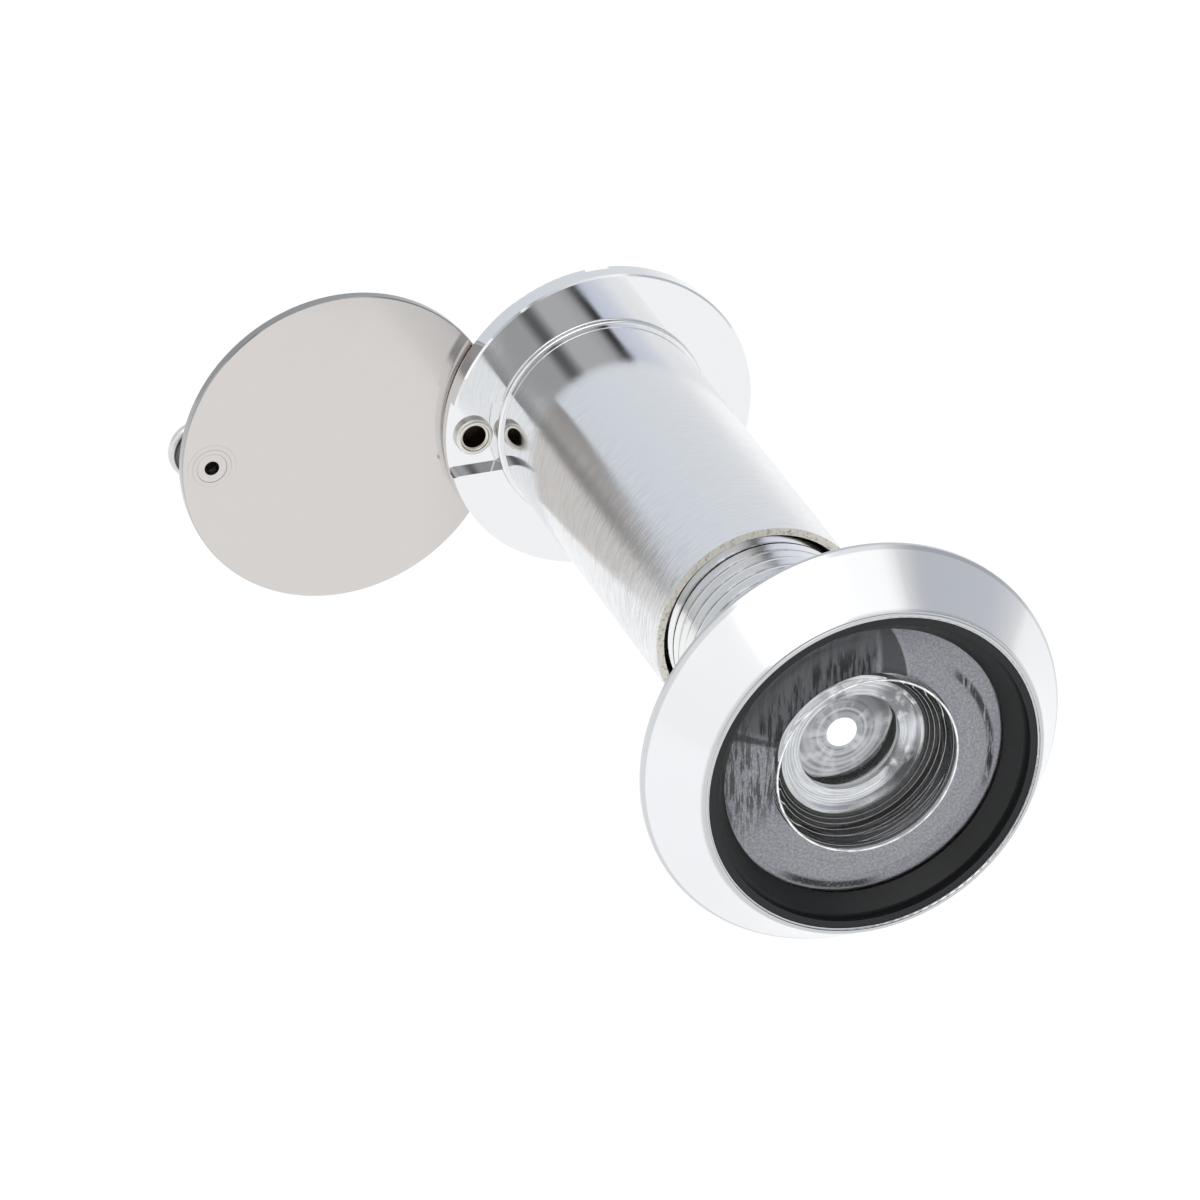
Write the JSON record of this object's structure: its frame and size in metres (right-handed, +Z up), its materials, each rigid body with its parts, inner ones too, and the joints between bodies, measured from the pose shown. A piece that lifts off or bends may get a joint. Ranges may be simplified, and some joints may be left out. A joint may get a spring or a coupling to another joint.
{
  "type": "door viewer",
  "caption": "Threaded two-part door viewer with a wide-angle front lens, a satin bezel and a swivel privacy cover over the eyepiece.",
  "frame": {"origin": "on the door hole's axis, half way through the door's thickness as set (44.3 mm)", "axes": "+Y along the hole's axis towards the room and the eyepiece, -Y towards the visitor and the bezel, +Z up, the cover's pivot at -X"},
  "size_m": [0.0418, 0.0541, 0.0272],
  "materials": {
    "satin_silver": "satin silver plating",
    "polished_chrome": "polished and brushed chrome",
    "black_ring": "satin black",
    "lens_glass": "clear",
    "turned_nickel": "turned nickel",
    "cover_satin": "satin warm silver",
    "rivet_nickel": "bright nickel"
  },
  "bodies": {
    "outer_unit": {"outer_housing": "satin_silver", "front_trim_ring": "black_ring", "front_lens": "lens_glass", "second_lens_ring": "turned_nickel", "second_lens": "lens_glass", "lens_spacer": "turned_nickel", "third_lens": "lens_glass", "rear_lens_ring": "turned_nickel"},
    "eyepiece_unit": {"eyepiece_lens": "lens_glass", "eyepiece_ring": "turned_nickel"},
    "inner_unit": {"inner_tube": "polished_chrome", "pivot_rivet": "rivet_nickel", "pivot_washer": "turned_nickel"},
    "cover_unit": {"cover_disc": "cover_satin", "cover_knob": "rivet_nickel"}
  },
  "joints": [
    {"name": "tube_travel", "type": "slide", "parent": "outer_unit", "child": "eyepiece_unit", "axis": [0, 1, 0], "range_m": [-0.01493, 0.00875]},
    {"name": "tube_turn", "type": "hinge", "parent": "eyepiece_unit", "child": "inner_unit", "pos_m": [0, 0, 0], "axis": [0, 1, 0], "range_deg": [-5374.8, 3150]},
    {"name": "cover_swing", "type": "hinge", "parent": "inner_unit", "child": "cover_unit", "pos_m": [-0.0086, 0.02391, 0], "axis": [0, 1, 0], "continuous": true}
  ],
  "couplings": [
    {"joint": "tube_travel", "follows": "tube_turn", "m_per_rad": 0.00015915}
  ]
}
